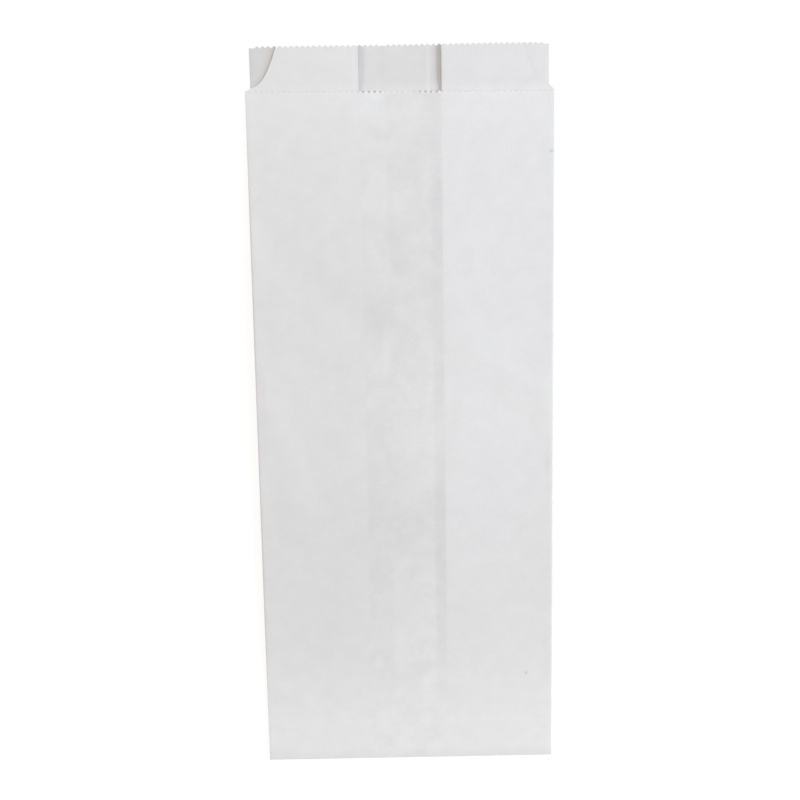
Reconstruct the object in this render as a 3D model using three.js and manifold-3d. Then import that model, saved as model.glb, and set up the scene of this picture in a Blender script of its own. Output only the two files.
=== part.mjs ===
// Side-gusseted bag of bleached kraft paper, lying flat on its back panel.
// One sheet is folded into a tube with a tucked-in gusset down each side, lapped and pasted down the back,
// cut with a toothed knife at the mouth, and turned up and pasted across the bottom.
// Millimetres. X runs across the bag, +Y towards the mouth, +Z up out of the front panel.
// The origin lies on the ground under the middle of the bag.
import * as THREE from "three";
import { mergeVertices } from "three/addons/utils/BufferGeometryUtils.js";
import Module from "manifold-3d";

// The sheet and the tube
const paper = 0.08; // thickness of the sheet
const pressedPitch = 0.108; // from one ply to the next where they are pressed together
const frontWidth = 175; // across the front panel, from fold to fold
const backNarrowing = 3; // the back panel is folded this much narrower on each side
const creaseGap = 47; // the creases of the two gussets stop this far apart
const bagLength = 433; // from the bottom fold to the points of the mouth's teeth

// How far the flat bag stands open by the spring of its folds
const foldLoft = 1; // between the two plies that meet in an outer fold
const pocketGap = 1.6; // between the two plies of a gusset, at the side of the bag
const creaseLoft = 0.9; // between the two plies of a gusset, at its crease
const crown = 2.6; // rise of the front panel from its folds to its middle
const loftLength = 120; // the bag reaches its full height this far from the bottom

// The seam down the back panel
const seamWidth = 25.5; // one edge of the sheet laps over the other by this much
const seamClear = 6.5; // from the inner edge to the crease of the right-hand gusset
const seamRamp = 2; // the inner ply comes down beside the outer one over this length

// The mouth: a toothed edge, and a lip where the front panel is cut lower
const toothPitch = 3.2;
const toothDepth = 1.6;
const lipDrop = 25.7; // the front edge lies this far below the back edge
const lipSkew = THREE.MathUtils.degToRad(0.55); // the lip is cut slightly out of square
const cornerRun = 4.6; // the lip's cut crosses the outer fold on a slant
const cornerRise = 2.1;
const cornerInset = 15.2; // the gusset's front ply is cut back this far at the top
const cornerBow = 7.2; // how far the curve runs inwards before it turns up
const cornerLift = 1.9;

// The bottom: all plies turned up onto the back, and the front panel's longer end pasted over them
const turnHeight = 20;
const pinchLength = 3; // the plies are one solid edge for this length at the fold
const stepLength = 1.5; // the turned-up plies end over this length
const settleLength = 6; // beyond a step the back panel comes down over this length

// Fineness of the curves
const plySteps = 7;
const foldSteps = 7;
const cornerSteps = 8;
const settleShares = [0.25, 0.5, 0.75, 1]; // sections along the length where the back panel comes down
const risingShares = [0.55, 0.67, 0.78, 0.89, 1]; // sections along the length where the bag rises
const margin = 2; // how far the cutting bodies reach past the paper
const cutEdge = 0.01; // lean of a cut edge of the sheet in the section

const half = paper / 2;
const frontHalf = frontWidth / 2;
const backHalf = frontHalf - backNarrowing;
const creaseX = creaseGap / 2;
const seamEdge = creaseX - seamClear;
const bandThickness = 3 * pressedPitch + paper;
const bandLift = bandThickness - half; // the back panel is pasted half a ply into the band
const tailLift = half;
const noseHeight = bandLift + 3 * pressedPitch + paper;
const noseRadius = noseHeight / 2;
const mouthValley = bagLength - toothDepth;

const mix = THREE.MathUtils.lerp;
const ease = (from, to, share) => mix(from, to, THREE.MathUtils.smoothstep(share, 0, 1));
const lipAt = (x) => bagLength - lipDrop - x * Math.tan(lipSkew);
const tailAt = (x) => turnHeight + lipDrop + x * Math.tan(lipSkew);

// Heights of the plies above the back ply, for a bag that is open by a share of its full loft.
function plyHeights(open) {
  const backFold = mix(pressedPitch, foldLoft, open);
  const frontFold = mix(pressedPitch, foldLoft, open);
  const gussetFront = backFold + mix(pressedPitch, pocketGap, open);
  const frontEdge = gussetFront + frontFold;
  const frontMiddle = frontEdge + crown * open;
  const crease = mix(pressedPitch, creaseLoft, open);
  const foldX = frontHalf - half - frontFold / 2;
  const aboveCrease = ease(frontEdge, frontMiddle, (foldX - creaseX) / foldX);
  const creaseMiddle = aboveCrease / 2;
  return { backFold, frontFold, gussetFront, frontEdge, frontMiddle, crease, creaseMiddle };
}

// Height of the back ply's underside: it rides over the turned-up band and over the pasted tail.
function liftAt(y) {
  const tailEnd = tailAt(0);
  const overBand = ease(bandLift, tailLift, (y - turnHeight) / settleLength);
  return ease(overBand, 0, (y - tailEnd) / settleLength);
}

// Heights of the front panel and of the gusset's front ply at x, above the back ply's middle.
function frontAt(x, h) {
  const foldX = frontHalf - half - h.frontFold / 2;
  return ease(h.frontEdge, h.frontMiddle, (foldX - Math.abs(x)) / foldX);
}
function gussetFrontAt(x, h) {
  const foldX = frontHalf - half - h.frontFold / 2;
  const start = creaseX + half + h.crease / 2;
  return ease(h.creaseMiddle + h.crease / 2, h.gussetFront, (Math.abs(x) - start) / (foldX - start));
}
function gussetBackAt(x, h) {
  const foldX = backHalf - half - h.backFold / 2;
  const start = creaseX + half + h.crease / 2;
  return ease(h.creaseMiddle - h.crease / 2, h.backFold, (Math.abs(x) - start) / (foldX - start));
}

// A ply as points from one x to another, without its last point.
function plyPoints(from, to, heightAt) {
  return Array.from({ length: plySteps }, (_, i) => {
    const x = mix(from, to, i / plySteps);
    return new THREE.Vector2(x, heightAt(x));
  });
}

// A half-round fold as points from its lower ply to its upper one, opening left or right.
function foldPoints(x, low, high, side) {
  const radius = (high - low) / 2;
  const arc = new THREE.EllipseCurve(
    x, (low + high) / 2, radius, radius, -Math.PI / 2, Math.PI / 2, side < 0,
  );
  return arc.getPoints(foldSteps).slice(0, -1);
}

// The middle line of the sheet from the back panel round the right-hand gusset to the front panel's middle.
function halfSection(h) {
  const backFoldX = backHalf - half - h.backFold / 2;
  const creaseFoldX = creaseX + half + h.crease / 2;
  const frontFoldX = frontHalf - half - h.frontFold / 2;
  const creaseLow = h.creaseMiddle - h.crease / 2;
  const creaseHigh = h.creaseMiddle + h.crease / 2;
  return [
    ...foldPoints(backFoldX, 0, h.backFold, 1),
    ...plyPoints(backFoldX, creaseFoldX, (x) => gussetBackAt(x, h)),
    ...foldPoints(creaseFoldX, creaseLow, creaseHigh, -1),
    ...plyPoints(creaseFoldX, frontFoldX, (x) => gussetFrontAt(x, h)),
    ...foldPoints(frontFoldX, h.gussetFront, h.frontEdge, 1),
    ...plyPoints(frontFoldX, 0, (x) => frontAt(x, h)),
    new THREE.Vector2(0, h.frontMiddle),
  ];
}

// An open line moved sideways by a distance, to its right as it runs.
function offsetLine(line, distance) {
  return line.map((point, i) => {
    const before = line[Math.max(i - 1, 0)];
    const after = line[Math.min(i + 1, line.length - 1)];
    const arriving = (i ? point.clone().sub(before) : after.clone().sub(point)).normalize();
    const leaving = (i < line.length - 1 ? after.clone().sub(point) : arriving.clone()).normalize();
    const along = arriving.clone().add(leaving).normalize();
    const stretch = 1 / along.dot(leaving);
    const aside = new THREE.Vector2(along.y, -along.x).multiplyScalar(distance * stretch);
    return point.clone().add(aside);
  });
}

// The back panel's face from left to right.
// Outside, the lap's outer ply ends in a cut edge; inside, its inner ply does.
function backFace(outside) {
  const lapEnd = seamEdge - seamWidth;
  const height = outside ? 0 : paper;
  const points = [
    [lapEnd - seamRamp, height],
    [lapEnd - cutEdge, height + paper],
  ];
  if (outside) points.push([lapEnd, 0]);
  else points.push([seamEdge - cutEdge, 2 * paper], [seamEdge, paper]);
  return points.map(([x, z]) => new THREE.Vector2(x, z));
}

// One closed contour of the tube's section at y: the sheet's outside or its inside.
function contour(y, outside) {
  const open = THREE.MathUtils.smoothstep(y, pinchLength, loftLength);
  const sunk = y <= noseRadius ? half / 2 : 0; // the plies dip into the solid edge at the fold
  const lift = liftAt(y) - sunk;
  const right = offsetLine(halfSection(plyHeights(open)), outside ? half : -half);
  right.forEach((point) => (point.y += half));
  const left = right
    .slice(0, -1)
    .reverse()
    .map((point) => new THREE.Vector2(-point.x, point.y));
  const section = [...backFace(outside), ...right, ...left];
  return section.map((point) => new THREE.Vector3(point.x, y, point.y + lift));
}

// A closed skin over rings of equal length, each lying in its own plane of constant y.
function loft(rings) {
  const count = rings[0].length;
  const faces = [];
  for (let k = 0; k + 1 < rings.length; k++) {
    for (let j = 0; j < count; j++) {
      const a = k * count + j;
      const b = k * count + ((j + 1) % count);
      faces.push(a, a + count, b + count, a, b + count, b);
    }
  }
  const flat = (ring) => ring.map((point) => new THREE.Vector2(point.x, point.z));
  const last = (rings.length - 1) * count;
  const firstCap = THREE.ShapeUtils.triangulateShape(flat(rings[0]), []);
  const lastCap = THREE.ShapeUtils.triangulateShape(flat(rings.at(-1)), []);
  firstCap.forEach(([a, b, c]) => faces.push(a, b, c));
  lastCap.forEach(([a, b, c]) => faces.push(last + a, last + c, last + b));
  return new THREE.BufferGeometry().setFromPoints(rings.flat()).setIndex(faces);
}

const wasm = await Module();
wasm.setup();

function solid(geometry) {
  const bare = geometry.clone();
  bare.deleteAttribute("normal");
  bare.deleteAttribute("uv");
  const merged = mergeVertices(bare, 1e-4);
  const mesh = new wasm.Mesh({
    numProp: 3,
    vertProperties: merged.attributes.position.array,
    triVerts: new Uint32Array(merged.index.array),
  });
  return new wasm.Manifold(mesh);
}

function geometryOf(manifold) {
  const mesh = manifold.getMesh();
  return new THREE.BufferGeometry()
    .setAttribute("position", new THREE.BufferAttribute(mesh.vertProperties, 3))
    .setIndex(new THREE.BufferAttribute(mesh.triVerts, 1));
}

function extruded(outline, depth) {
  const settings = { depth, bevelEnabled: false, curveSegments: foldSteps };
  return new THREE.ExtrudeGeometry(outline, settings);
}

// An outline in the ground plane as an upright block between two heights.
function upright(points, bottom, top) {
  const block = extruded(new THREE.Shape(points), top - bottom);
  return solid(block.translate(0, 0, bottom));
}

// The points of a toothed cut across the bag, from left to right; edgeAt gives its pointed side.
function teeth(edgeAt) {
  const count = Math.ceil((frontHalf + margin) / toothPitch);
  const points = [];
  for (let i = -count; i <= count; i++) {
    const x = i * toothPitch;
    const valleyX = x + toothPitch / 2;
    points.push(new THREE.Vector2(x, edgeAt(x)));
    if (i < count) points.push(new THREE.Vector2(valleyX, edgeAt(valleyX) - toothDepth));
  }
  return points;
}

// The outline of everything beyond a toothed cut, as far as a line across.
function beyond(edgeAt, farY) {
  const points = teeth(edgeAt);
  const right = points.at(-1).x;
  const left = points[0].x;
  return [...points, new THREE.Vector2(right, farY), new THREE.Vector2(left, farY)];
}

const full = plyHeights(1);
const topZ = full.frontMiddle + paper + margin;
const endY = bagLength + margin;

// The tube of paper
function tube() {
  const stations = [
    noseRadius,
    pinchLength,
    (pinchLength + turnHeight) / 2,
    turnHeight,
    ...settleShares.map((share) => turnHeight + settleLength * share),
    (turnHeight + settleLength + tailAt(0)) / 2,
    tailAt(0),
    ...settleShares.map((share) => tailAt(0) + settleLength * share),
    ...risingShares.map((share) => loftLength * share),
    endY,
  ].sort((a, b) => a - b);
  const outside = stations.map((y) => contour(y, true));
  const inside = stations.map((y) => contour(y, false));
  const moved = (ring, by) => ring.map((point) => point.clone().setY(point.y + by));
  inside[0] = moved(inside[0], -noseRadius / 2);
  inside[inside.length - 1] = moved(inside.at(-1), margin);
  return solid(loft(outside)).subtract(solid(loft(inside)));
}

// The bottom edge: the fold's nose, the turned-up plies and the tail of the front panel over them
function turnedBottom() {
  const farY = turnHeight + lipDrop + frontHalf * Math.tan(lipSkew) + margin;
  const profile = new THREE.Shape();
  profile.moveTo(farY, 0);
  profile.lineTo(farY, paper);
  profile.lineTo(turnHeight + stepLength, paper);
  profile.lineTo(turnHeight, bandThickness);
  profile.lineTo(pinchLength, bandThickness);
  profile.lineTo(pinchLength, noseHeight - half);
  profile.lineTo(noseRadius, noseHeight);
  profile.absarc(noseRadius, noseRadius, noseRadius, Math.PI / 2, (3 * Math.PI) / 2, false);
  const width = frontWidth - paper;
  const block = extruded(profile, width);
  // The profile's own x and y become the bag's y and z, and its depth runs across the bag.
  const turn = new THREE.Matrix4().makeBasis(
    new THREE.Vector3(0, 1, 0),
    new THREE.Vector3(0, 0, 1),
    new THREE.Vector3(1, 0, 0),
  );
  block.applyMatrix4(turn).translate(-width / 2, 0, 0);
  return solid(block).subtract(upright(beyond(tailAt, farY + margin), -margin, margin));
}

// What the lip's cut takes away: the front ply beyond the toothed line
function lipCut() {
  const spacing = (frontHalf - creaseX) / plySteps;
  const between = (x) => (frontAt(x, full) + gussetFrontAt(x, full)) / 2 + half;
  const rightSide = Array.from({ length: plySteps + 1 }, (_, i) => {
    const x = Math.min(creaseX + i * spacing, frontHalf - half - foldLoft / 2);
    return new THREE.Vector2(x, between(x));
  });
  rightSide.push(new THREE.Vector2(frontHalf + margin, rightSide.at(-1).y));
  const leftSide = rightSide.map((point) => new THREE.Vector2(-point.x, point.y)).reverse();
  const above = [
    new THREE.Vector2(frontHalf + margin, topZ + margin),
    new THREE.Vector2(-frontHalf - margin, topZ + margin),
  ];
  const block = extruded(new THREE.Shape([...leftSide, ...rightSide, ...above]), endY + margin);
  // Stood up so that the section's height is the bag's height and its depth runs along the bag.
  block.rotateX(Math.PI / 2).translate(0, endY + margin, 0);
  return solid(block).intersect(upright(beyond(lipAt, endY), 0, topZ));
}

// What the ends of that cut take away: the outer fold on a slant,
// and beyond it a curved corner of the gusset's front ply
function cornerCut(side) {
  const lipEnd = lipAt(side * frontHalf);
  const startX = frontHalf - cornerRun;
  const startY = lipEnd + cornerRise;
  const topX = backHalf - cornerInset;
  const outline = new THREE.Shape();
  outline.moveTo(side * (frontHalf + margin), lipEnd);
  outline.lineTo(side * frontHalf, lipEnd);
  outline.lineTo(side * startX, startY);
  const bowX = startX - cornerBow;
  outline.quadraticCurveTo(side * bowX, startY + cornerLift, side * topX, bagLength);
  outline.lineTo(side * topX, endY);
  outline.lineTo(side * (frontHalf + margin), endY);
  const pocketMiddle = (full.backFold + full.gussetFront) / 2 + half;
  return upright(outline.getPoints(cornerSteps), pocketMiddle, topZ);
}

function paperBag() {
  return tube()
    .add(turnedBottom())
    .subtract(upright(beyond(() => bagLength, endY + margin), -margin, topZ))
    .subtract(lipCut())
    .subtract(cornerCut(1))
    .subtract(cornerCut(-1));
}

const bleachedKraft = new THREE.MeshStandardMaterial({ color: 0xe7e7e6, roughness: 0.86, metalness: 0 });

const bag = new THREE.Mesh(geometryOf(paperBag()), bleachedKraft);
bag.name = "paper_bag";
bag.position.y = -bagLength / 2;

const model = new THREE.Group();
model.add(bag);
export default model;
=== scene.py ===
import math

import bpy
import numpy as np
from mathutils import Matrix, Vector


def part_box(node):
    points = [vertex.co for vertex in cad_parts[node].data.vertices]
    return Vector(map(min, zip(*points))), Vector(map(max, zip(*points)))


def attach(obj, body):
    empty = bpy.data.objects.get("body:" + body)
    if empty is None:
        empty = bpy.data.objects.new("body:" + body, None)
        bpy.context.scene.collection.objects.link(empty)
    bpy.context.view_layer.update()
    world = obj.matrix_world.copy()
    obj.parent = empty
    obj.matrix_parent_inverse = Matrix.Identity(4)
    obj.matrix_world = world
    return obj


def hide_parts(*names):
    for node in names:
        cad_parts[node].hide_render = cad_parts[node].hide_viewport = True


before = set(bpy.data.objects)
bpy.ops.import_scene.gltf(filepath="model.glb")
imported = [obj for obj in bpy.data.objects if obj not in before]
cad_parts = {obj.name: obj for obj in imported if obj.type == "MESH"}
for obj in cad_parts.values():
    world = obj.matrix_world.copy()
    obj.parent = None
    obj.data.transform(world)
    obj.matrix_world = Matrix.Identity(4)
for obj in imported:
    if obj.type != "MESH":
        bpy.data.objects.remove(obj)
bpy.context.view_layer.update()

# The tube: a length of bleached kraft paper folded round a former, with a tucked-in gusset down each side, and
# lapped and pasted down the back. Its section is one line, from the lap's inner edge round to its outer edge:
# pressed flat at the bottom, sprung open along the bag, and nearly closed again at the mouth.
MM = 0.001
PAPER = 0.08 * MM
PRESSED_PITCH = 0.108 * MM
CREASE_GAP = 47 * MM
BACK_NARROWING = 3 * MM
SEAM_EDGE = 17 * MM
LAP_EDGE = -8.5 * MM
SEAM_RAMP = 2 * MM
SEAM_PUFF = 0.1 * MM
SEAM_PUFF_START = 11 * MM
SEAM_PUFF_RISE = 4 * MM
SEAM_PUFF_END = 1.1 * MM

# Each state of the folds: the heights of the outer folds, of the gussets' pockets (left, right) and of the
# creases; the share of the front panel's height at which the creases lie; the height of the panel's middle;
# and how far the outer folds' noses reach, against a half circle
PRESSED = {
    "back_fold": PRESSED_PITCH,
    "pockets": (PRESSED_PITCH, PRESSED_PITCH),
    "front_fold": PRESSED_PITCH,
    "crease": PRESSED_PITCH,
    "crease_share": 0.5,
    "middle": 3 * PRESSED_PITCH,
    "fold_reach": 1,
}
SPRUNG = {
    "back_fold": 0.95 * MM,
    "pockets": (1.5 * MM, 1.5 * MM),
    "front_fold": 0.95 * MM,
    "crease": 0.8 * MM,
    "crease_share": 0.5,
    "middle": 5.6 * MM,
    "fold_reach": 2.6,
}
MOUTH = {
    "back_fold": 0.55 * MM,
    "pockets": (0.25 * MM, 0.22 * MM),
    "front_fold": 0.42 * MM,
    "crease": 0.33 * MM,
    "crease_share": 0.8,
    "middle": 2 * MM,
    "fold_reach": 1.2,
}

low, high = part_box("paper_bag")
front_half = high[0]
back_half = front_half - BACK_NARROWING
crease_x = CREASE_GAP / 2
bag_length = high[1] - low[1]


def smooth(share):
    share = np.clip(share, 0, 1)
    return share * share * (3 - 2 * share)


def ease(start, end, share):
    return start + (end - start) * smooth(share)


def folded_section(state, columns):
    """Where each column of the sheet lies across the bag, with the folds in one of their states."""
    reach = state["fold_reach"]
    back_fold = state["back_fold"]
    crease = state["crease"]
    front_fold_x = front_half - PAPER / 2 - state["front_fold"] / 2 * reach
    back_fold_x = back_half - PAPER / 2 - back_fold / 2 * reach
    crease_fold_x = crease_x + (PAPER + crease) / 2
    places = []
    for ply, x, turn in columns:
        side = math.copysign(1, x)
        across = abs(x)
        pocket = back_fold + state["pockets"][int(side > 0)]
        front_edge = pocket + state["front_fold"]
        over_crease = ease(front_edge, state["middle"], 1 - crease_x / front_fold_x)
        crease_z = over_crease * state["crease_share"]
        folds = {
            "back_fold": (back_fold_x, 0, back_fold, reach),
            "crease_fold": (crease_fold_x, crease_z - crease / 2, crease_z + crease / 2, -1),
            "front_fold": (front_fold_x, pocket, front_edge, reach),
        }
        if ply in folds:
            fold_x, under, over, stretch = folds[ply]
            radius = (over - under) / 2
            x = side * (fold_x + stretch * radius * math.cos(turn))
            z = (under + over) / 2 + radius * math.sin(turn)
        elif ply == "front":
            z = ease(front_edge, state["middle"], 1 - across / front_fold_x)
        elif ply == "gusset_front":
            from_crease = (across - crease_fold_x) / (front_fold_x - crease_fold_x)
            z = ease(crease_z + crease / 2, pocket, from_crease)
        elif ply == "gusset_back":
            from_crease = (across - crease_fold_x) / (back_fold_x - crease_fold_x)
            z = ease(crease_z - crease / 2, back_fold, from_crease)
        elif ply == "lap_inside":
            puff = smooth((x - SEAM_PUFF_START) / SEAM_PUFF_RISE) * smooth((SEAM_EDGE - x) / SEAM_PUFF_END)
            z = ease(0, PRESSED_PITCH, (x - LAP_EDGE) / SEAM_RAMP + 1) + SEAM_PUFF * puff
        else:
            z = 0
        places.append((x, 0, z + PAPER / 2))
    return np.array(places)


# The blank: the sheet as a toothed knife leaves it, still flat. The front panel is cut lower than the back, so
# that the mouth has a lip, and each gusset's front ply loses a curved corner. The next bag's mouth leaves the
# same outline on this bag's other end.
TOOTH_PITCH = 3.2 * MM
TOOTH_DEPTH = 1.5 * MM
LIP_DROP = 25.7 * MM
LIP_SKEW = math.radians(0.55)
CORNER_RUN = 4.6 * MM
CORNER_RISES = (2.1 * MM, 4.4 * MM)
CORNER_INSET = 15.2 * MM
CORNER_BOW = 7.2 * MM
CORNER_LIFT = 1.9 * MM
TURN_HEIGHT = 20 * MM
NOSE_RADIUS = 0.42 * MM
BAND_SETTLE = 2 * MM
TAIL_SETTLE = 2.5 * MM
SETTLE_LENGTH = 6 * MM
LOFT_LENGTH = 120 * MM
MOUTH_ROWS_START = bag_length - 40 * MM

# The fineness of the mesh: columns at the points and valleys of the teeth, and finer ones at curves and folds
FOLD_STEPS = 8
PUFF_STEPS = 4
CORNER_STEP = 0.4 * MM
CORNER_POINTS = 60
CLEAR_SHARE = 0.2
END_ROW = 2 * MM
MOUTH_STEPS = 12
TURNED_STEPS = 5

corner_x = front_half - CORNER_RUN
corner_top_x = back_half - CORNER_INSET
lip_y = bag_length - LIP_DROP
band_settle_y = TURN_HEIGHT + BAND_SETTLE
tail_settle_y = TURN_HEIGHT + LIP_DROP + TAIL_SETTLE
front_fold_start = front_half - PAPER / 2 - SPRUNG["front_fold"] / 2 * SPRUNG["fold_reach"]
back_fold_start = front_fold_start - BACK_NARROWING


def marks(start, end, step=TOOTH_PITCH / 2):
    """Places at every point and valley of the teeth, or at a finer step, clear of start and end."""
    first, last = sorted((start, end))
    first_step, last_step = math.ceil(first / step + CLEAR_SHARE), math.floor(last / step - CLEAR_SHARE)
    inside = np.arange(first_step, last_step + 1) * step
    return list(inside if start < end else inside[::-1])


def half_columns():
    """Columns of the sheet from the back panel round one gusset to the front panel's middle, at the right."""
    crease_fold_x = crease_x + (PAPER + SPRUNG["crease"]) / 2
    turns = np.linspace(-math.pi / 2, math.pi / 2, FOLD_STEPS + 1)
    gusset_front = marks(crease_fold_x, corner_top_x) + [corner_top_x]
    gusset_front += marks(corner_top_x, corner_x, CORNER_STEP) + [corner_x]
    gusset_front += marks(corner_x, front_fold_start, 2 * CORNER_STEP)
    columns = [("back_fold", 1, turn) for turn in turns]
    columns += [("gusset_back", x, 0) for x in marks(back_fold_start, crease_fold_x)]
    columns += [("crease_fold", 1, turn) for turn in turns]
    columns += [("gusset_front", x, 0) for x in gusset_front]
    columns += [("front_fold", 1, turn) for turn in turns]
    columns += [("front", x, 0) for x in marks(front_fold_start, 0)]
    return columns


right = half_columns()
left = [(ply, -x, turn) for ply, x, turn in right]
puffed = [SEAM_EDGE - SEAM_PUFF_END * step / PUFF_STEPS for step in range(PUFF_STEPS + 1)]
lap_inside = puffed + marks(puffed[-1], LAP_EDGE) + [LAP_EDGE, LAP_EDGE - SEAM_RAMP]
lap_inside += marks(LAP_EDGE - SEAM_RAMP, -back_fold_start)
lap_outside = marks(back_fold_start, LAP_EDGE) + [LAP_EDGE]
columns = [("lap_inside", x, 0) for x in lap_inside] + left + [("front", 0.0, 0)] + right[::-1]
columns += [("lap_outside", x, 0) for x in lap_outside]
open_section = folded_section(SPRUNG, columns)
pressed_section = folded_section(PRESSED, columns)
mouth_section = folded_section(MOUTH, columns)


def bowed(start, bow, end):
    """Points of the corner's curve in one direction, from its lower end over the bow to its upper end."""
    t = np.linspace(0, 1, CORNER_POINTS)
    return (1 - t) ** 2 * start + 2 * t * (1 - t) * bow + t ** 2 * end


def corner_curve_y(corner_y):
    return bowed(corner_y, corner_y + CORNER_LIFT, bag_length)


corner_curve_x = bowed(corner_x, corner_x - CORNER_BOW, corner_top_x)


def mouth_end(ply, x):
    """How far up the bag a column reaches, and whether the knife leaves teeth there."""
    across = abs(x)
    if ply == "front":
        return lip_y - x * math.tan(LIP_SKEW), 1
    fold_end = lip_y - math.copysign(front_half, x) * math.tan(LIP_SKEW)
    if ply == "front_fold":
        return fold_end, 0
    if ply != "gusset_front" or across < corner_top_x - CORNER_STEP / 2:
        return bag_length, 1
    corner_rise = CORNER_RISES[int(x > 0)]
    if across > corner_x:
        return fold_end + corner_rise * (front_half - across) / CORNER_RUN, 0
    return float(np.interp(-across, -corner_curve_x, corner_curve_y(fold_end + corner_rise))), 0


# Stations along the bag, each with the number of rows from it down to the next
stations = (
    (MOUTH_ROWS_START, 39),
    (LOFT_LENGTH, 8),
    (tail_settle_y + SETTLE_LENGTH, 4),
    (tail_settle_y, 3),
    (band_settle_y + SETTLE_LENGTH, 4),
    (band_settle_y, 3),
    (NOSE_RADIUS, 6),
    (-NOSE_RADIUS, 0),
)
shared_rows = np.concatenate([
    np.linspace(upper, lower, steps + 1)[:-1]
    for (upper, steps), (lower, _) in zip(stations, stations[1:])
])
ends = [mouth_end(ply, open_section[i][0]) for i, (ply, x, turn) in enumerate(columns)]
runs = np.array([
    np.concatenate([
        [end],
        np.linspace(end - END_ROW, MOUTH_ROWS_START, MOUTH_STEPS + 1)[:-1],
        shared_rows,
        np.linspace(-NOSE_RADIUS, -(TURN_HEIGHT + bag_length - end), TURNED_STEPS + 1),
    ])
    for end, toothed in ends
])
column_count, row_count = runs.shape
widths = np.linalg.norm(np.diff(open_section, axis=0), axis=1)
blank_x = np.concatenate([[0], np.cumsum(widths)])
flat_points = np.stack([np.repeat(blank_x, row_count), runs.ravel(), np.zeros(runs.size)], axis=1)
corner = np.arange(column_count - 1)[:, None] * row_count + np.arange(row_count - 1)[None, :]
quads = np.stack([corner, corner + row_count, corner + row_count + 1, corner + 1], axis=2).reshape(-1, 4)
blank = bpy.data.meshes.new("blank")
blank.from_pydata(flat_points.tolist(), [], quads.tolist())


def put_attribute(name, kind, field, values):
    layer = blank.attributes.new(name, kind, "POINT")
    layer.data.foreach_set(field, np.ascontiguousarray(values, dtype=np.float32).ravel())


toothed_ends = np.zeros(runs.shape)
toothed_ends[:, 0] = [toothed for end, toothed in ends]
toothed_ends[:, -1] = toothed_ends[:, 0]
put_attribute("run", "FLOAT", "value", runs)
put_attribute("toothed", "FLOAT", "value", toothed_ends)
for name, section in (("open", open_section), ("pressed", pressed_section), ("mouth", mouth_section)):
    put_attribute(name + "_section", "FLOAT_VECTOR", "vector", np.repeat(section, row_count, axis=0))

# The lip: the front panel's cut end, which lies loosely on the gussets, and hangs down between their creases
# onto the back panel. The folds under it are pressed lower than at the points of the mouth.
LIP_GAP = 0.19 * MM
LIP_MIDDLE = 0.28 * MM
LIP_DRAPES = (16 * MM, 20 * MM)
LIP_PRESS = 0.5
LIP_PRESS_BASE = 0.3 * MM
LIP_PRESS_LENGTH = 20 * MM
MOUTH_SPRING = 2.3
CREASE_TOP_INSET = 1 * MM


def pressed_down(heights):
    return np.minimum(heights, LIP_PRESS_BASE) + np.maximum(heights - LIP_PRESS_BASE, 0) * LIP_PRESS


mouth_x, mouth_z = mouth_section[:, 0], mouth_section[:, 2]
plies_under = [
    ("gusset_front" if ply == "front" and abs(x) > crease_x else ply, x, turn) for ply, x, turn in columns
]
crease_tops = [("gusset_front", side * (crease_x + CREASE_TOP_INSET), 0) for side in (-1, 1)]
gusset_rest = pressed_down(folded_section(MOUTH, plies_under)[:, 2]) + LIP_GAP
crease_rests = pressed_down(folded_section(MOUTH, crease_tops)[:, 2]) + LIP_GAP
crease_rest = np.where(mouth_x > 0, crease_rests[1], crease_rests[0])
drape_width = np.where(mouth_x > 0, LIP_DRAPES[1], LIP_DRAPES[0])
drape = ease(crease_rest, LIP_MIDDLE, (crease_x - np.abs(mouth_x)) / drape_width)
lip_rest = np.where(np.abs(mouth_x) < crease_x, drape, gusset_rest)
is_front = np.array([ply == "front" for ply, x, turn in columns])
put_attribute("lip_dip", "FLOAT", "value", np.repeat((pressed_down(mouth_z) - lip_rest) * is_front, row_count))

# Soft bends of the loose front panel, where the bag has been handled. Each runs from one point of the panel to
# another, as x and height up the bag, with how far it spreads to its sides and how high it stands, all in mm.
BENDS = (
    (-84, 330, -20, 268, 15, -0.4),
    (24, 268, 87, 226, 15, 0.4),
    (-87, 250, -60, 150, 17, 0.3),
    (30, 170, 87, 190, 16, -0.3),
    (-85, 49, -60, 36, 7, 0.14),
    (24, 51, 87, 27, 7, 0.14),
)
BEND_EDGE = 6 * MM

across = np.repeat(open_section[:, 0], row_count).reshape(runs.shape)
along = np.abs(runs)
bend = np.zeros(runs.shape)
for x0, y0, x1, y1, reach, rise in BENDS:
    length = math.hypot(x1 - x0, y1 - y0)
    along_x, along_y = (x1 - x0) / length, (y1 - y0) / length
    off_x, off_y = across / MM - x0, runs / MM - y0
    aside = np.abs(off_x * along_y - off_y * along_x) / reach
    beyond = off_x * along_x + off_y * along_y
    fading = smooth(beyond / reach + 0.5) * (1 - smooth((beyond - length) / reach + 0.5))
    bend += rise * MM * (1 - smooth(aside)) * fading
bend = bend * is_front[:, None] * smooth((front_half - np.abs(across)) / BEND_EDGE)
put_attribute("bend", "FLOAT", "value", bend)

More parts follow.
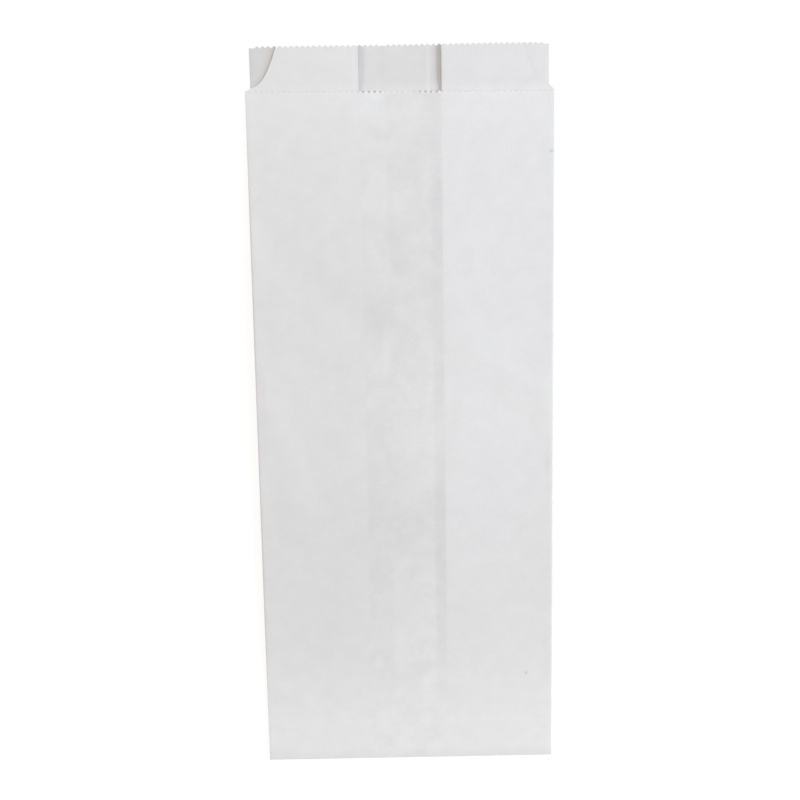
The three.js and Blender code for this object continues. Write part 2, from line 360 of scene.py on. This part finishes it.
# Painted light and shade on the sheet, as a tone: a higher tone is darker, and the heights up the bag are in
# mm.
# Thin paper is painted darker where fewer plies back it, as painted show-through: between the gussets' creases,
# and most of all beside the lap's edge and inside the mouth. It is painted lighter over the pasted tail and the
# turned-up bottom. Above the lip, inside the mouth, the tone is painted shade and painted highlights.
CREASE_BLUR = 0.9 * MM
SEAM_BLUR = 2.5 * MM
PANEL_HEIGHTS = (0, 12, 20, 33, 45, 58, 90, 125, 154, 206, 246, 292, 340, 362, 385, 399, 407)
PANEL_TONES = (0.4, 0.4, 0.5, 0.7, 1.0, 1.4, 1.9, 2.2, 2.2, 1.65, 1.7, 1.8, 1.65, 1.65, 1.4, 1.1, 0.9)
STRIP_HEIGHTS = (20, 33, 56, 90, 154, 206, 246, 292, 340, 362, 390, 407)
LEFT_STRIP_TONES = (0, 0, 0.1, 0.1, 0.5, 0.35, 0.1, 0.5, 0.1, 0.1, 0.3, 0.3)
LAP_TONES = (0, 0, -0.2, -0.4, 0.7, 0.1, 0.3, 0.8, 0.6, 0.8, 0.7, 0.6)
RIGHT_STRIP_TONES = (0.1, 0.1, 0.4, 0.8, 1.6, 0.7, 1.0, 1.2, 1.5, 1.2, 1.0, 0.9)
# Painted shade above the lip, inside the mouth: on the gussets' plies (left, right) and the back panel, and
# deepest in the left corner, away from the lamp on the right, with a painted shadow along the left corner's
# curve
MOUTH_TONES = (1.2, 1.75)
MOUTH_BACK_TONE = 2.5
CORNER_TONE = 3.6
CORNER_SHADE = 1.0
CORNER_SHADE_WIDTH = 5 * MM
# Painted highlights: on the plies just above the lip (gussets left and right, and the back panel), and along
# the front panel's toothed edge
LIP_GLOWS = (-0.3, -0.6)
LIP_BACK_GLOW = -0.9
LIP_GLOW_LENGTH = 5 * MM
LIP_EDGE_TONE = -1.9
# A painted highlight on the left gusset beside its crease, and painted shade on the left crease's fold
CREASE_GLOW = -0.8
CREASE_GLOW_WIDTH = 4 * MM
CREASE_SHADE = 1.2


def past(values, start, blur=CREASE_BLUR):
    """0 before a line and 1 beyond it, blurred across it."""
    return smooth((values - start) / blur + 0.5)


def where_ply(*plies, left_only=False):
    """1 on the columns of these plies and 0 elsewhere."""
    return np.array([ply in plies and not (left_only and x > 0) for ply, x, turn in columns])[:, None]


tone = np.interp(along, np.array(PANEL_HEIGHTS) * MM, PANEL_TONES)
strips = (
    (-crease_x, CREASE_BLUR, LAP_EDGE, SEAM_BLUR, LEFT_STRIP_TONES),
    (LAP_EDGE, SEAM_BLUR, SEAM_EDGE, SEAM_BLUR, LAP_TONES),
    (SEAM_EDGE, SEAM_BLUR, crease_x, CREASE_BLUR, RIGHT_STRIP_TONES),
)
for start, start_blur, end, end_blur, tones in strips:
    strip = past(across, start, start_blur) - past(across, end, end_blur)
    tone += np.interp(along, np.array(STRIP_HEIGHTS) * MM, tones) * strip

on_front = where_ply("front", "front_fold")
on_back = where_ply("lap_inside", "lap_outside")
in_corner = where_ply("gusset_back", "back_fold", left_only=True)
above_lip = (1 - on_front) * past(along, lip_y)
from_lip = 1 - smooth((along - lip_y) / LIP_GLOW_LENGTH)
from_crease = 1 - smooth((-across - crease_x) / CREASE_GLOW_WIDTH)
curve_y = corner_curve_y(lip_y + CORNER_RISES[0])
from_curve = 1 - smooth((-across - np.interp(along, curve_y, corner_curve_x)) / CORNER_SHADE_WIDTH)
side_tone = np.where(across > 0, MOUTH_TONES[1], MOUTH_TONES[0])
side_glow = np.where(across > 0, LIP_GLOWS[1], LIP_GLOWS[0])
mouth_tone = side_tone + (MOUTH_BACK_TONE - side_tone) * on_back + (CORNER_TONE - side_tone) * in_corner
glow = side_glow * (1 - on_back) + LIP_BACK_GLOW * on_back
mouth_tone = mouth_tone + glow * (1 - in_corner) * from_lip
mouth_tone = mouth_tone + CREASE_GLOW * where_ply("gusset_front", left_only=True) * from_crease
mouth_tone = mouth_tone + CREASE_SHADE * where_ply("crease_fold", left_only=True)
mouth_tone = mouth_tone + CORNER_SHADE * in_corner * from_curve
# Above the lip the mouth's painted shade and highlights take the place of the panel's tone
tone += (mouth_tone - tone) * above_lip
tone[:, 0] += LIP_EDGE_TONE * on_front[:, 0]
between_creases = past(across, -crease_x) * (1 - past(across, crease_x)) * on_front * (1 - above_lip)
put_attribute("show_through", "FLOAT", "value", tone)
put_attribute("between_creases", "FLOAT", "value", between_creases)


def add(tree, kind, inputs=None, **settings):
    """Adds a node with its settings, and sets or links its inputs, which are given by name or number."""
    node = tree.nodes.new(kind)
    for name, value in settings.items():
        setattr(node, name, value)
    for key, value in (inputs or {}).items():
        socket = node.inputs[key]
        if isinstance(value, bpy.types.NodeSocket):
            tree.links.new(value, socket)
        elif isinstance(value, bpy.types.Node):
            tree.links.new(value.outputs[0], socket)
        else:
            socket.default_value = value
    return node


def linear(hex_colour):
    """An sRGB hex colour as linear red, green, blue and alpha."""
    shares = [int(hex_colour[i:i + 2], 16) / 255 for i in (1, 3, 5)]
    return [s / 12.92 if s <= 0.04045 else ((s + 0.055) / 1.055) ** 2.4 for s in shares] + [1]


# Bleached kraft paper, machine-glazed, about 55 grams a square metre: a matt, nearly neutral white. The
# fibres lie in soft clouds, a few dark ones show as specks, and the web has a fine grain along its run.
# Where its painted shade is deepest, between the plies, it is painted warmer.
PAPER_LIGHT = "#F0F0F1"
PAPER_SHADED = "#C8C9C8"
PAPER_DEEP_SHADE = "#C8B79C"
DEEP_START = 0.58
PAINTED_SHADE_SHARE = 0.155
CLOUD_SIZE = 9 * MM
CLOUD_DETAIL = 4.0
CLOUD_SPAN = (0.3, 0.7)
CLOUD_DEPTH = 0.05
PATCH_SIZE = 13 * MM
PATCH_DETAIL = 5.0
PATCH_ROUGHNESS = 0.62
PATCH_SPAN = (0.38, 0.62)
PATCH_DEPTH = 0.065

# Single fibres are too fine to show, so their grain is drawn coarser than it is
FIBRE_SIZE = 1.3 * MM
FIBRE_DETAIL = 5.0
FIBRE_SPAN = (0.35, 0.65)
FIBRE_DEPTH = 0.01
GRAIN_STRETCH = 1.4
GRAIN_STRENGTH = 0.12
GRAIN_HEIGHT = 0.05 * MM

SPECKS = ((85.8 * MM, 155.5 * MM), (71.6 * MM, -161.3 * MM))
SPECK_SIZE = 1.5 * MM
SPECK_CORE_SHARE = 0.25
SPECK_DEPTH = 0.5
SPECK_PLY_HEIGHT = 1 * MM
MATT_ROUGHNESS = 0.82
MATT_SPECULAR = 0.3

paper = bpy.data.materials.new("bleached_kraft_paper")
paper.use_nodes = True
tree = paper.node_tree
tree.nodes.clear()
place = add(tree, "ShaderNodeTexCoord").outputs["Object"]
painted_shading_input = add(tree, "ShaderNodeAttribute", attribute_name="show_through")
painted_shade_amount = add(tree, "ShaderNodeMath", {0: painted_shading_input.outputs["Fac"], 1: PAINTED_SHADE_SHARE}, operation="MULTIPLY")
clouds = add(tree, "ShaderNodeTexNoise", {"Vector": place, "Scale": 1 / CLOUD_SIZE, "Detail": CLOUD_DETAIL})
cloud_tone = add(tree, "ShaderNodeMapRange", {
    "Value": clouds.outputs["Fac"], "From Min": CLOUD_SPAN[0], "From Max": CLOUD_SPAN[1],
    "To Min": -CLOUD_DEPTH, "To Max": CLOUD_DEPTH})
patches = add(tree, "ShaderNodeTexNoise", {
    "Vector": place, "Scale": 1 / PATCH_SIZE, "Detail": PATCH_DETAIL, "Roughness": PATCH_ROUGHNESS})
patch_tone = add(tree, "ShaderNodeMapRange", {
    "Value": patches.outputs["Fac"], "From Min": PATCH_SPAN[0], "From Max": PATCH_SPAN[1],
    "To Min": -PATCH_DEPTH, "To Max": PATCH_DEPTH})
patch_mask = add(tree, "ShaderNodeAttribute", attribute_name="between_creases")
patch_tone = add(tree, "ShaderNodeMath", {0: patch_tone, 1: patch_mask.outputs["Fac"]}, operation="MULTIPLY")
dark = add(tree, "ShaderNodeMath", {0: painted_shade_amount, 1: cloud_tone}, operation="ADD")
dark = add(tree, "ShaderNodeMath", {0: dark, 1: patch_tone}, operation="SUBTRACT")

# The specks lie in the front panel alone
place_axes = add(tree, "ShaderNodeSeparateXYZ", {0: place})
on_panel = add(tree, "ShaderNodeMath", {0: place_axes.outputs["Z"], 1: SPECK_PLY_HEIGHT},
               operation="GREATER_THAN")
for x, y in SPECKS:
    spot = add(tree, "ShaderNodeVectorMath", {0: place, 1: (x, y, 0)}, operation="SUBTRACT")
    spot = add(tree, "ShaderNodeVectorMath", {0: spot, 1: (1, 1, 0)}, operation="MULTIPLY")
    spot = add(tree, "ShaderNodeVectorMath", {0: spot}, operation="LENGTH")
    speck = add(tree, "ShaderNodeMapRange", {
        "Value": spot.outputs["Value"], "From Min": SPECK_SIZE * SPECK_CORE_SHARE, "From Max": SPECK_SIZE,
        "To Min": SPECK_DEPTH, "To Max": 0.0})
    dark = add(tree, "ShaderNodeMath", {0: speck, 1: on_panel, 2: dark}, operation="MULTIPLY_ADD")

# The painted light and shade, the clouds, the patches and the specks mix the paper from its light colour to its
# shaded one. Where the painted shade is deepest, the colour goes on towards a warm, brown painted shade
colour = add(tree, "ShaderNodeMix", {"Factor": dark, "A": linear(PAPER_LIGHT), "B": linear(PAPER_SHADED)},
             data_type="RGBA")
deep = add(tree, "ShaderNodeMapRange", {"Value": painted_shade_amount, "From Min": DEEP_START, "From Max": 1.0})
colour = add(tree, "ShaderNodeMix", {"Factor": deep, "A": colour.outputs["Result"], "B": linear(PAPER_DEEP_SHADE)},
             data_type="RGBA")
grain_place = add(tree, "ShaderNodeMapping", {"Vector": place, "Scale": (GRAIN_STRETCH, 1, 1)})
fibres = add(tree, "ShaderNodeTexNoise", {
    "Vector": grain_place, "Scale": 1 / FIBRE_SIZE / GRAIN_STRETCH, "Detail": FIBRE_DETAIL})
fibre_tone = add(tree, "ShaderNodeMapRange", {
    "Value": fibres.outputs["Fac"], "From Min": FIBRE_SPAN[0], "From Max": FIBRE_SPAN[1],
    "To Min": 1 - FIBRE_DEPTH, "To Max": 1 + FIBRE_DEPTH})
toned = add(tree, "ShaderNodeVectorMath", {0: colour.outputs["Result"], "Scale": fibre_tone}, operation="SCALE")
grain = add(tree, "ShaderNodeBump", {
    "Height": fibres.outputs["Fac"], "Strength": GRAIN_STRENGTH, "Distance": GRAIN_HEIGHT})
surface = add(tree, "ShaderNodeBsdfPrincipled", {
    "Base Color": toned, "Normal": grain, "Roughness": MATT_ROUGHNESS, "Specular IOR Level": MATT_SPECULAR})
add(tree, "ShaderNodeOutputMaterial", {"Surface": surface})

# The folded bag: the blank folded to its section all along, opening out from the pinched bottom to the full
# loft, with every ply turned round the bottom fold and pasted up the back. The loose paper cockles slightly.
BAND_LIFT = 4 * PRESSED_PITCH
TAIL_LIFT = 2 * PRESSED_PITCH
PINCH_LENGTH = 3 * MM
CLOSING_START = bag_length - 135 * MM
WAVE_HEIGHT = 0.8 * MM
WAVE_SCALE = 15
WAVE_DETAIL = 1.5
WAVE_SEED = 4.0
SHARP_ANGLE = math.radians(50)

folding = bpy.data.node_groups.new("fold_the_bag", "GeometryNodeTree")
folding.interface.new_socket("Geometry", in_out="INPUT", socket_type="NodeSocketGeometry")
folding.interface.new_socket("Geometry", in_out="OUTPUT", socket_type="NodeSocketGeometry")
sizes = {
    "Tooth Pitch": TOOTH_PITCH,
    "Tooth Depth": TOOTH_DEPTH,
    "Bottom Y": low[1],
    "Pinch Length": PINCH_LENGTH,
    "Loft Length": LOFT_LENGTH,
    "Closing Start": CLOSING_START,
    "Lip Height": lip_y,
    "Lip Press": LIP_PRESS,
    "Lip Press Base": LIP_PRESS_BASE,
    "Lip Press Length": LIP_PRESS_LENGTH,
    "Mouth Spring": MOUTH_SPRING,
    "Nose Radius": NOSE_RADIUS,
    "Band End": band_settle_y,
    "Tail End": tail_settle_y,
    "Settle Length": SETTLE_LENGTH,
    "Band Lift": BAND_LIFT,
    "Tail Lift": TAIL_LIFT,
    "Crown Height": float(open_section[:, 2].max()),
    "Wave Height": WAVE_HEIGHT,
    "Wave Scale": WAVE_SCALE,
    "Wave Seed": WAVE_SEED,
}
sockets = {}
for name in sizes:
    sockets[name] = folding.interface.new_socket(name, in_out="INPUT", socket_type="NodeSocketFloat").identifier
size = add(folding, "NodeGroupInput").outputs

attributes = {}
for name, kind in (("run", "FLOAT"), ("toothed", "FLOAT"), ("lip_dip", "FLOAT"), ("bend", "FLOAT"),
                   ("open_section", "FLOAT_VECTOR"), ("pressed_section", "FLOAT_VECTOR"),
                   ("mouth_section", "FLOAT_VECTOR")):
    attributes[name] = add(folding, "GeometryNodeInputNamedAttribute", {"Name": name}, data_type=kind)
pressed_place = add(folding, "ShaderNodeSeparateXYZ", {0: attributes["pressed_section"]})

# The toothed cut: a zigzag that starts from the middle of the bag
half_pitches = add(folding, "ShaderNodeMath", {0: size["Tooth Pitch"], 1: 0.5}, operation="MULTIPLY")
steps = add(folding, "ShaderNodeMath", {0: pressed_place.outputs["X"], 1: half_pitches}, operation="DIVIDE")
zigzag = add(folding, "ShaderNodeMath", {0: steps, 1: 1.0}, operation="PINGPONG")
notch = add(folding, "ShaderNodeMath", {0: zigzag, 1: size["Tooth Depth"]}, operation="MULTIPLY")
notch = add(folding, "ShaderNodeMath", {0: notch, 1: attributes["toothed"]}, operation="MULTIPLY")
run = add(folding, "ShaderNodeMath", {0: attributes["run"], 1: notch}, operation="SUBTRACT")
height_up = add(folding, "ShaderNodeMath", {0: run}, operation="ABSOLUTE")

# Opening out from the pinched bottom to the full loft, and closing again towards the lip
opening = add(folding, "ShaderNodeMapRange", {
    "Value": run, "From Min": size["Pinch Length"], "From Max": size["Loft Length"],
    "To Min": 0.0, "To Max": 1.0}, interpolation_type="SMOOTHSTEP")
section = add(folding, "ShaderNodeMix", {
    "Factor": opening, 4: attributes["pressed_section"], 5: attributes["open_section"]}, data_type="VECTOR")
closing = add(folding, "ShaderNodeMapRange", {
    "Value": run, "From Min": size["Closing Start"], "From Max": size["Lip Height"],
    "To Min": 0.0, "To Max": 1.0}, interpolation_type="SMOOTHSTEP")
section = add(folding, "ShaderNodeMix", {
    "Factor": closing, 4: section.outputs[1], 5: attributes["mouth_section"]}, data_type="VECTOR")
section_place = add(folding, "ShaderNodeSeparateXYZ", {0: section.outputs[1]})

# At the lip the folds are pressed lower, and the front panel's end lies down on the plies
above_lip = add(folding, "ShaderNodeMath", {0: run, 1: size["Lip Height"]}, operation="SUBTRACT")
below_lip = add(folding, "ShaderNodeMath", {0: above_lip, 1: -1.0}, operation="MULTIPLY")
above_lip = add(folding, "ShaderNodeMath", {0: above_lip, 1: size["Mouth Spring"]}, operation="MULTIPLY")
from_lip = add(folding, "ShaderNodeMath", {0: above_lip, 1: below_lip}, operation="MAXIMUM")
looser = add(folding, "ShaderNodeMapRange", {
    "Value": from_lip, "From Max": size["Lip Press Length"], "To Min": size["Lip Press"]},
    interpolation_type="SMOOTHSTEP")
base = add(folding, "ShaderNodeMath", {0: section_place.outputs["Z"], 1: size["Lip Press Base"]},
           operation="MINIMUM")
over_base = add(folding, "ShaderNodeMath", {0: section_place.outputs["Z"], 1: base}, operation="SUBTRACT")
section_z = add(folding, "ShaderNodeMath", {0: over_base, 1: looser, 2: base}, operation="MULTIPLY_ADD")
dip_start = add(folding, "ShaderNodeMath", {0: size["Lip Height"], 1: size["Lip Press Length"]},
                operation="SUBTRACT")
dip = add(folding, "ShaderNodeMapRange", {
    "Value": run, "From Min": dip_start, "From Max": size["Lip Height"],
    "To Min": 0.0, "To Max": attributes["lip_dip"]}, interpolation_type="SMOOTHSTEP")

# Over the turned-up band and the pasted tail, and then down to the ground
band_end = add(folding, "ShaderNodeMath", {0: size["Band End"], 1: size["Settle Length"]}, operation="ADD")
over_band = add(folding, "ShaderNodeMapRange", {
    "Value": run, "From Min": size["Band End"], "From Max": band_end,
    "To Min": size["Band Lift"], "To Max": size["Tail Lift"]}, interpolation_type="SMOOTHSTEP")
tail_end = add(folding, "ShaderNodeMath", {0: size["Tail End"], 1: size["Settle Length"]}, operation="ADD")
lift = add(folding, "ShaderNodeMapRange", {
    "Value": run, "From Min": size["Tail End"], "From Max": tail_end,
    "To Min": over_band, "To Max": 0.0}, interpolation_type="SMOOTHSTEP")

# The cockle of the loose paper, which grows with the height over the back panel
spot = add(folding, "ShaderNodeCombineXYZ", {"X": section_place.outputs["X"], "Y": run})
cockle = add(folding, "ShaderNodeTexNoise", {
    "Vector": spot, "W": size["Wave Seed"], "Scale": size["Wave Scale"], "Detail": WAVE_DETAIL},
    noise_dimensions="4D")
swing = add(folding, "ShaderNodeMath", {0: cockle.outputs["Fac"], 1: 0.5}, operation="SUBTRACT")
swing = add(folding, "ShaderNodeMath", {0: swing, 1: size["Wave Height"]}, operation="MULTIPLY")
looseness = add(folding, "ShaderNodeMath", {0: section_z, 1: size["Crown Height"]}, operation="DIVIDE")
swing = add(folding, "ShaderNodeMath", {0: swing, 1: looseness}, operation="MULTIPLY")
raised = add(folding, "ShaderNodeMath", {0: section_z, 1: lift}, operation="ADD")
raised = add(folding, "ShaderNodeMath", {0: raised, 1: swing}, operation="ADD")
raised = add(folding, "ShaderNodeMath", {0: raised, 1: dip}, operation="SUBTRACT")
raised = add(folding, "ShaderNodeMath", {0: raised, 1: attributes["bend"]}, operation="ADD")

# The bottom fold: each ply turns round the fold's middle at its own radius
radius = add(folding, "ShaderNodeMath", {0: pressed_place.outputs["Z"], 1: size["Band Lift"]}, operation="ADD")
radius = add(folding, "ShaderNodeMath", {0: radius, 1: size["Nose Radius"]}, operation="SUBTRACT")
nose_start = add(folding, "ShaderNodeMath", {0: size["Nose Radius"], 1: -1.0}, operation="MULTIPLY")
turn = add(folding, "ShaderNodeMapRange", {
    "Value": run, "From Min": nose_start, "From Max": size["Nose Radius"],
    "To Min": -math.pi / 2, "To Max": math.pi / 2})
rise = add(folding, "ShaderNodeMath", {0: turn}, operation="SINE")
rise = add(folding, "ShaderNodeMath", {0: rise, 1: radius, 2: size["Nose Radius"]}, operation="MULTIPLY_ADD")
reach = add(folding, "ShaderNodeMath", {0: turn}, operation="COSINE")
reach = add(folding, "ShaderNodeMath", {0: reach, 1: radius}, operation="MULTIPLY")
beyond_nose = add(folding, "ShaderNodeMath", {0: height_up, 1: size["Nose Radius"]}, operation="MAXIMUM")
along_bag = add(folding, "ShaderNodeMath", {0: beyond_nose, 1: reach}, operation="SUBTRACT")
along_bag = add(folding, "ShaderNodeMath", {0: along_bag, 1: size["Bottom Y"]}, operation="ADD")
is_upper = add(folding, "ShaderNodeMath", {0: run, 1: size["Nose Radius"]}, operation="GREATER_THAN")
height = add(folding, "ShaderNodeMix", {"Factor": is_upper, "A": rise, "B": raised})
folded_place = add(folding, "ShaderNodeCombineXYZ", {
    "X": section_place.outputs["X"], "Y": along_bag, "Z": height.outputs["Result"]})
folded = add(folding, "GeometryNodeSetPosition", {"Geometry": size["Geometry"], "Position": folded_place})
realised = add(folding, "GeometryNodeRealizeInstances", {"Geometry": folded})
finished = add(folding, "GeometryNodeSetMaterial", {"Geometry": realised, "Material": paper})
add(folding, "NodeGroupOutput", {"Geometry": finished})

blank_object = bpy.data.objects.new("blank", blank)
bpy.context.collection.objects.link(blank_object)
fold_modifier = blank_object.modifiers.new("fold_the_bag", "NODES")
fold_modifier.node_group = folding
for name, value in sizes.items():
    fold_modifier[sockets[name]] = value
thickness = blank_object.modifiers.new("sheet_thickness", "SOLIDIFY")
thickness.thickness = PAPER
thickness.offset = 0
thickness.use_even_offset = True
evaluated = blank_object.evaluated_get(bpy.context.evaluated_depsgraph_get())
bag_mesh = bpy.data.meshes.new_from_object(evaluated)
bpy.data.objects.remove(blank_object)
bag_mesh.shade_smooth()
bag_mesh.set_sharp_from_angle(angle=SHARP_ANGLE)
bag = bpy.data.objects.new("folded_paper_bag", bag_mesh)
bpy.context.collection.objects.link(bag)
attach(bag, "root")
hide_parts("paper_bag")

# The studio: a white table that keeps the bag's soft shadow, a broad lamp low on the right and a small one low
# on the left, an even surround for the rest of the light, and a camera above that looks slightly down the bag.
TABLE_SIDE = 3.0
TABLE_GLOW = 0.85
TABLE_GREY = 0.22

# Angles are in degrees, and the lamps' sizes and distances in metres
LAMPS = {
    "key_lamp": {
        "elevation": 22, "azimuth": 12, "away": 2.4, "share": 0.38, "colour": "#E0EEFF", "size": (0.9, 1.0)},
    "far_lamp": {
        "elevation": 23, "azimuth": 170, "away": 4, "share": 0.12, "colour": "#ECF4FF", "size": (0.8, 0.8)},
}
SURROUND_SHARE = 0.57
SURROUND_COLOUR = "#FFF4E7"
WHITE = "#FFFFFF"
CAMERA_LENS_MM = 70
CAMERA_SENSOR_MM = 36
CAMERA_PLACE = (-7.6 * MM, 212.1 * MM, 896.9 * MM)
CAMERA_LEANS = (-12.617, -0.51, -0.945)

table_mesh = bpy.data.meshes.new("table")
edge = TABLE_SIDE / 2
corners = [(-edge, -edge, 0), (edge, -edge, 0), (edge, edge, 0), (-edge, edge, 0)]
table_mesh.from_pydata(corners, [], [(0, 1, 2, 3)])
table = bpy.data.objects.new("table", table_mesh)
bpy.context.collection.objects.link(table)
table_paint = bpy.data.materials.new("white_laminate")
surround = bpy.data.worlds.new("surround")
bpy.context.scene.world = surround
seen_rays = {}
for owner in (table_paint, surround):
    owner.use_nodes = True
    tree = owner.node_tree
    tree.nodes.clear()
    rays = add(tree, "ShaderNodeLightPath").outputs
    seen = add(tree, "ShaderNodeMath", {0: rays["Is Camera Ray"], 1: rays["Is Glossy Ray"]},
               operation="MAXIMUM")
    seen = add(tree, "ShaderNodeMath", {0: seen, 1: rays["Is Transmission Ray"]}, operation="MAXIMUM")
    seen_rays[owner.name] = seen

# White laminate, paper pressed in clear resin: an even white ground that takes no colour from its surroundings
tree = table_paint.node_tree
seen = add(tree, "ShaderNodeMath", {0: seen_rays["white_laminate"], 1: TABLE_GLOW}, operation="MULTIPLY")
glow = add(tree, "ShaderNodeEmission", {"Color": linear(WHITE), "Strength": seen})
body = add(tree, "ShaderNodeBsdfDiffuse", {"Color": (TABLE_GREY, TABLE_GREY, TABLE_GREY, 1)})
both = add(tree, "ShaderNodeAddShader", {0: glow, 1: body})
add(tree, "ShaderNodeOutputMaterial", {"Surface": both})
table_mesh.materials.append(table_paint)

tree = surround.node_tree
even_light = add(tree, "ShaderNodeBackground", {"Color": linear(SURROUND_COLOUR), "Strength": SURROUND_SHARE})
backdrop = add(tree, "ShaderNodeBackground", {"Color": linear(WHITE), "Strength": 1.0})
sky = add(tree, "ShaderNodeMixShader", {0: seen_rays["surround"], 1: even_light, 2: backdrop})
add(tree, "ShaderNodeOutputWorld", {"Surface": sky})

# Each lamp's power gives its share of full light on a level surface at the bag
for name, lamp in LAMPS.items():
    elevation, azimuth = math.radians(lamp["elevation"]), math.radians(lamp["azimuth"])
    lamp_data = bpy.data.lights.new(name, "AREA")
    lamp_data.shape = "RECTANGLE"
    lamp_data.size, lamp_data.size_y = lamp["size"]
    lamp_data.color = linear(lamp["colour"])[:3]
    lamp_data.energy = lamp["share"] * math.pi ** 2 * lamp["away"] ** 2 / math.sin(elevation)
    lamp_object = bpy.data.objects.new(name, lamp_data)
    flat_reach = lamp["away"] * math.cos(elevation)
    lamp_object.location = (flat_reach * math.cos(azimuth), flat_reach * math.sin(azimuth),
                            lamp["away"] * math.sin(elevation))
    lamp_object.rotation_euler = (-lamp_object.location).to_track_quat("-Z", "Y").to_euler()
    bpy.context.collection.objects.link(lamp_object)

camera_data = bpy.data.cameras.new("camera")
camera_data.lens = CAMERA_LENS_MM
camera_data.sensor_width = CAMERA_SENSOR_MM
camera = bpy.data.objects.new("camera", camera_data)
camera.location = CAMERA_PLACE
camera.rotation_euler = [math.radians(lean) for lean in CAMERA_LEANS]
bpy.context.collection.objects.link(camera)
bpy.context.scene.camera = camera
bpy.context.scene.view_settings.view_transform = "Standard"
